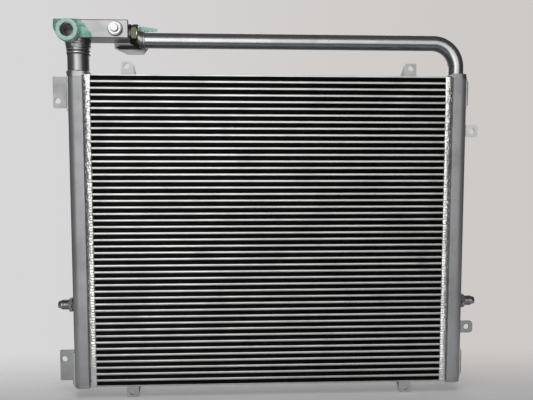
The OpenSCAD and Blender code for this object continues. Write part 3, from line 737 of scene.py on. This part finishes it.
def make_spring():
    """The bypass valve's coil."""
    low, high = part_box("bypass_spring")
    middle = (low + high) / 2
    wire_r, turns, per_turn, sides = 0.9 * MM, 5, 28, 10
    run = high.x - low.x - 2 * wire_r
    coil_r = (high.y - low.y) / 2 - wire_r
    rings = []
    for i in range(turns * per_turn + 1):
        a = 2 * math.pi * i / per_turn
        along = run * (i / (turns * per_turn) - 0.5)
        ring = []
        for k in range(sides):
            b = 2 * math.pi * k / sides
            r = coil_r + wire_r * math.cos(b)
            ring.append(middle + Vector((along + wire_r * math.sin(b), r * math.cos(a), r * math.sin(a))))
        rings.append(ring)
    coil = add_piece("bypass_spring_coil", *tube_shell(rings), "dark", "dark_steel", ("bypass_spring",))
    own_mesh(coil)


# ---------- Protective film ----------

def grid_of(columns, rows, place):
    """Rows of points: place(u, v) for u and v from 0 to 1."""
    return [[place(i / columns, j / rows) for i in range(columns + 1)] for j in range(rows + 1)]


def sheet_piece(name, grid, material, replaced=(), closed=False, keep=None):
    """A thin film from rows of points, thickened; keep picks the faces by their first corner."""
    rows, columns = len(grid), len(grid[0])
    verts = [p for row in grid for p in row]
    faces = []
    for j in range(rows - 1):
        for i in range(columns if closed else columns - 1):
            n = (i + 1) % columns
            if keep is None or keep(grid[j][i]):
                a, b = j * columns, (j + 1) * columns
                faces.append((a + i, a + n, b + n, b + i))
    obj = add_piece(name, verts, faces, material, "green_film", replaced)
    solid = obj.modifiers.new("thickness", "SOLIDIFY")
    solid.thickness = 0.3 * MM
    solid.offset = 0


def crumple(point, scale, amount):
    """A small displacement of folds and creases at a point."""
    a = noise.noise(point * scale)
    b = noise.noise(point * scale * 2.7 + Vector((4, 9, 1)))
    return amount * (abs(a) * 1.4 + 0.5 * b)


def film_sleeve(name, centre, out, boss_r, length, replaced, seed):
    """Film pulled over a round boss and tucked over its lip into the port."""
    turn = out.to_track_quat("Z", "Y").to_matrix()
    sides = 120
    profile = [(-length * (1 - k / 10), boss_r + 0.75 * MM) for k in range(11)]
    profile += [(z * MM, boss_r - inward * MM) for z, inward in
                ((0.75, 0.4), (0.95, 2.2), (0.9, 4.4), (0.7, 6.2), (0.4, 7.6), (-1.2, 8.6))]
    grid = []
    for z, r in profile:
        row = []
        for i in range(sides):
            a = 2 * math.pi * i / sides
            across, up = math.cos(a), math.sin(a)
            swell = crumple(Vector((r * across + seed, r * up + seed, z)), 150, 1.5 * MM)
            ragged = 2.5 * MM * noise.noise(Vector((across * 2, up * 2, seed))) * max(0.0, -z / length)
            crease = 0.8 * MM * noise.noise(Vector((across * 7, up * 7, z * 900))) if z >= 0 else 0.0
            spot = Vector(((r + swell) * across, (r + swell) * up, z + crease + ragged))
            row.append(centre + turn @ spot)
        grid.append(row)
    sheet_piece(name, grid, "pale_film", replaced=replaced, closed=True)


def front_scrap_point(u, v):
    """The scrap that lies on the block's front face, right of the boss and narrower at the top."""
    left = 16 * MM
    z = BLOCK_FOOT + 1.5 * MM + (BLOCK_HIGH.z - BLOCK_FOOT - 4 * MM) * v
    right = (52 - 26 * v ** 1.4) * MM + 3 * MM * noise.noise(Vector((v * 6, 2.0, 0.0)))
    x = FRONT_PORT.x + left + (right - left) * u
    near_boss = max(0.0, 1 - u * 2.6)
    y = -BLOCK_FACE - 0.5 * MM - crumple(Vector((x, 0, z)), 110, 1.5 * MM) - 5 * MM * near_boss ** 2
    return Vector((x, min(y, -BLOCK_FACE - 0.3 * MM), z))


def end_wrap_point(u, v):
    """The wrap round the block's left end: across the front as far as corner, then along the end."""
    corner, height = 0.6, 44 * MM
    z = BLOCK_HIGH.z - 0.8 * MM - height * v
    fold = crumple(Vector((u * 0.07, 0.02, z)), 90, 1.3 * MM)
    cut = max(0.0, BLOCK_FOOT + 19 * MM - z) * 0.62
    left = BLOCK_LOW.x + cut - 0.5 * MM - fold
    droop = 17.5 * MM * max(0.0, v - 0.8) * (1 + noise.noise(Vector((u * 9, 0.4, 0.2))))
    if u < corner:
        start = FRONT_PORT.x + 20 * MM
        x = start + (left - start) * u / corner
        near_boss = max(0.0, 1 - abs(x - FRONT_PORT.x) / FRONT_BOSS_R)
        return Vector((x, -BLOCK_FACE - 0.5 * MM - fold - 3 * MM * near_boss, z - droop * 0.4))
    y = -BLOCK_FACE - 0.5 * MM + 40 * MM * (u - corner) / (1 - corner)
    return Vector((left, y, z - droop * 0.1))


def off_the_port(point):
    """Whether the film goes on at a point; it is open over the front port's mouth."""
    from_axis = math.hypot(point.x - FRONT_PORT.x, point.z - FRONT_PORT.z)
    return from_axis > 21 * MM or point.y > -26 * MM


def rear_scrap_point(u, v):
    """The scrap that stands up beside the rear boss and tapers to the right."""
    half = (7.2 - 4 * u ** 3) * MM
    x = REAR_PORT.x + 14 * MM + 72 * MM * u + 2 * MM * noise.noise(Vector((v * 5, 1.0, 0.0))) * u
    z = REAR_PORT.z + 17.5 * MM - 2 * MM * u * u + half * (2 * v - 1)
    y = REAR_PORT.y - 4.5 * MM + crumple(Vector((x, 0, z)), 70, 2.6 * MM) - 2 * MM * u
    return Vector((x, min(y, REAR_PORT.y - 0.5 * MM), z))


def make_film():
    """The film on the block: a sleeve on each boss, a scrap at each, and the wrap at the left end."""
    film_sleeve("front_film_sleeve", FRONT_PORT, FRONT, FRONT_BOSS_R, 18 * MM,
                ("front_port_film",), 1.0)
    sheet_piece("front_film_scrap", grid_of(36, 28, front_scrap_point), "film")
    sheet_piece("end_film_wrap", grid_of(60, 24, end_wrap_point), "deep_film",
                keep=off_the_port)
    film_sleeve("rear_film_sleeve", REAR_PORT, -FRONT, REAR_BOSS_R, 13 * MM,
                ("rear_port_film",), 3.0)
    sheet_piece("rear_film_scrap", grid_of(48, 16, rear_scrap_point), "pale_film")


# ---------- Materials on the CAD nodes ----------

def dress_nodes():
    """The material, slot and edge width of each CAD node that no piece replaces."""
    finishes = [
        (("parting_sheets",), "bars", "sheet_aluminium", 0.08 * MM),
        (("oil_turbulators",), "turbulator", "sheet_aluminium", 0.02 * MM),
        (("left_end_bars", "right_end_bars"), "sheet", "sheet_aluminium", 0.3 * MM),
        (("top_side_plate", "bottom_side_plate"), "bars", "sheet_aluminium", 0.5 * MM),
        (("left_tank_shell", "right_tank_shell"), "tank", "tank_aluminium", 0.5 * MM),
        (("left_tank_top_cap", "left_tank_bottom_cap", "right_tank_top_cap", "right_tank_bottom_cap"),
         "cap", "tank_aluminium", 1.6 * MM),
        (("neck_tube",), "neck", "tube_aluminium", 0.6 * MM),
        (("return_pipe",), "tube", "tube_aluminium", 0.5 * MM),
        (("pipe_end_sleeve",), "rough_weld", "weld_bead", 0.8 * MM),
        (("port_block",), "block", "block_aluminium", 1.5 * MM),
        (("gallery_plug",), "chrome", "plated_steel", 1.2 * MM),
        (("left_fitting", "right_fitting"), "fitting", "plated_steel", 0.5 * MM),
        (("union_nut",), "yellow", "zinc_yellow", 0.7 * MM),
        (("union_adapter", "spring_retainer", "retainer_circlip"), "dark", "dark_steel", 0.3 * MM),
        (("union_seal", "gallery_plug_washer", "slot_strip", "left_fitting_washer", "right_fitting_washer"),
         "rubber", "rubber", 0.3 * MM),
        (("slotted_bracket", "upper_left_bracket", "lower_left_bracket", "upper_right_pad",
          "lower_right_pad", "lower_right_lug", "left_fitting_boss", "right_fitting_boss"),
         "bracket", "bracket_aluminium", 0.6 * MM),
        (("upper_right_lug",), "lug", "bracket_aluminium", 0.6 * MM),
        (("top_left_tab", "top_right_tab", "bottom_left_tab", "bottom_right_tab"),
         "tab", "bracket_aluminium", 0.6 * MM),
        (("bypass_poppet",), "brass", "brass", 0.4 * MM),
    ]
    for nodes, material, slot, bevel in finishes:
        for node in nodes:
            dress(node, material, bevel)


# ---------- Stage, light and camera ----------

def make_stage():
    """A pale floor round the cooler's foot that fades away, sooner in front and behind than sideways."""
    mesh = bpy.data.meshes.new("floor")
    edge = 4
    corners = [(-edge, -edge, 0), (edge, -edge, 0), (edge, edge, 0), (-edge, edge, 0)]
    mesh.from_pydata(corners, [], [(0, 1, 2, 3)])
    floor = bpy.data.objects.new("floor", mesh)
    bpy.context.scene.collection.objects.link(floor)
    mat, tree, shader = blank_material("pale_floor")
    clouds = noise_map(tree, 3.0)
    tree.links.new(ramp(tree, clouds, [(0.3, (0.58, 0.58, 0.59)), (0.7, (0.62, 0.62, 0.63))]),
                   shader.inputs["Base Color"])
    shader.inputs["Roughness"].default_value = 0.7
    coord = tree.nodes.new("ShaderNodeTexCoord")
    oval = tree.nodes.new("ShaderNodeMapping")
    oval.inputs["Scale"].default_value = (0.25, 1.7, 1.0)
    oval.inputs["Location"].default_value = (0.0, 0.45, 0.0)
    distance = tree.nodes.new("ShaderNodeVectorMath")
    distance.operation = "LENGTH"
    tree.links.new(coord.outputs["Object"], oval.inputs["Vector"])
    tree.links.new(oval.outputs["Vector"], distance.inputs[0])
    fade = [(0.28, 1.0), (0.45, 0.75), (0.58, 0.46), (0.77, 0.15), (0.91, 0.0)]
    tree.links.new(ramp(tree, distance.outputs["Value"], fade), shader.inputs["Alpha"])
    shader.inputs["Emission Color"].default_value = (0.9, 0.9, 0.92, 1)
    shader.inputs["Emission Strength"].default_value = 0.06
    floor.data.materials.append(mat)


def make_world():
    """A pale room seen directly; reflections get a dim room with a pale wall behind the cooler."""
    world = bpy.data.worlds.new("studio")
    bpy.context.scene.world = world
    world.use_nodes = True
    tree = world.node_tree
    tree.nodes.clear()
    output = tree.nodes.new("ShaderNodeOutputWorld")
    seen = tree.nodes.new("ShaderNodeBackground")
    room = tree.nodes.new("ShaderNodeBackground")
    coord = tree.nodes.new("ShaderNodeTexCoord")
    half = tree.nodes.new("ShaderNodeVectorMath")
    half.operation = "MULTIPLY_ADD"
    half.inputs[1].default_value = (0.5, 0.5, 0.5)
    half.inputs[2].default_value = (0.5, 0.5, 0.5)
    split = tree.nodes.new("ShaderNodeSeparateXYZ")
    tree.links.new(coord.outputs["Generated"], half.inputs[0])
    tree.links.new(half.outputs["Vector"], split.inputs["Vector"])
    depth = ramp(tree, split.outputs["Y"], [(0.0, 0.20), (0.34, 0.12), (0.86, 0.12), (0.96, 0.62)])
    side = ramp(tree, split.outputs["X"], [(0.25, 1.0), (0.75, 0.55)])
    height = ramp(tree, split.outputs["Z"], [(0.34, 0.80), (0.50, 0.75), (0.95, 1.25)])
    shade = mix_colour(tree, 1.0, mix_colour(tree, 1.0, depth, side, "MULTIPLY"), height, "MULTIPLY")
    tree.links.new(shade, room.inputs["Color"])
    wall = ramp(tree, split.outputs["X"], [(0.32, (0.685, 0.675, 0.68)), (0.68, (0.615, 0.59, 0.57))])
    tree.links.new(wall, seen.inputs["Color"])
    path = tree.nodes.new("ShaderNodeLightPath")
    mix = tree.nodes.new("ShaderNodeMixShader")
    tree.links.new(path.outputs["Is Camera Ray"], mix.inputs["Fac"])
    tree.links.new(room.outputs["Background"], mix.inputs[1])
    tree.links.new(seen.outputs["Background"], mix.inputs[2])
    tree.links.new(mix.outputs["Shader"], output.inputs["Surface"])


def softbox(name, place, target, width, height, watts, tint=(1, 1, 1)):
    """A soft rectangular light that faces its target."""
    light = bpy.data.lights.new(name, "AREA")
    light.shape = "RECTANGLE"
    light.size, light.size_y = width, height
    light.energy = watts
    light.color = tint
    obj = bpy.data.objects.new(name, light)
    obj.location = place
    obj.rotation_euler = (Vector(target) - Vector(place)).to_track_quat("-Z", "Y").to_euler()
    bpy.context.scene.collection.objects.link(obj)
    return obj


def make_lights():
    """Two tall windows side by side in front, the left one stronger, a ceiling and a weak back light."""
    softbox("front_window_left", (-1.0, -3.2, 1.0), (-1.0, 0, 1.0), 2.0, 3.0, 38, (1.0, 0.995, 0.985))
    softbox("front_window_right", (1.05, -3.2, 1.0), (1.05, 0, 1.0), 2.1, 3.0, 23, (1.0, 0.99, 0.975))
    softbox("ceiling", (-0.2, -0.8, 3.0), (0, 0, 0.3), 2.6, 1.6, 30).visible_glossy = False
    softbox("back_fill", (0.3, 2.6, 1.8), (0, 0, 0.5), 2.4, 1.2, 14)


def make_camera():
    """The photograph's viewpoint: near the middle of the core, looking slightly down and right."""
    place = Vector((-0.0579, -1.2376, 0.5609))
    pitch, yaw, roll = math.radians(3.753), math.radians(-2.321), math.radians(-0.009)
    forward = Vector((-math.sin(yaw) * math.cos(pitch), math.cos(yaw) * math.cos(pitch), -math.sin(pitch)))
    right = Vector((math.cos(yaw), math.sin(yaw), 0))
    right, up = (right * math.cos(roll) + right.cross(forward) * math.sin(roll),
                 right.cross(forward) * math.cos(roll) - right * math.sin(roll))
    data = bpy.data.cameras.new("camera")
    data.sensor_width = 36
    data.lens = 33.7711
    data.clip_start = 0.05
    camera = bpy.data.objects.new("camera", data)
    turn = Matrix((right, up, -forward)).transposed()
    camera.matrix_world = Matrix.Translation(place) @ turn.to_4x4()
    bpy.context.scene.collection.objects.link(camera)
    bpy.context.scene.camera = camera


make_camera()
make_world()
make_lights()
make_stage()
bpy.context.scene.view_settings.view_transform = "Standard"

dress_nodes()
make_fins()
make_bars()
make_tank_welds()
make_pad_welds()
make_root_welds()
make_tab_welds()
make_neck_welds()
make_pipe_welds()
make_boss_welds()
make_slotted_bracket_weld()
make_threads()
make_front_boss_fillet()
make_union_nut_end()
make_gallery_plug_shade_ring()
make_socket_welds()
make_spring()
make_film()
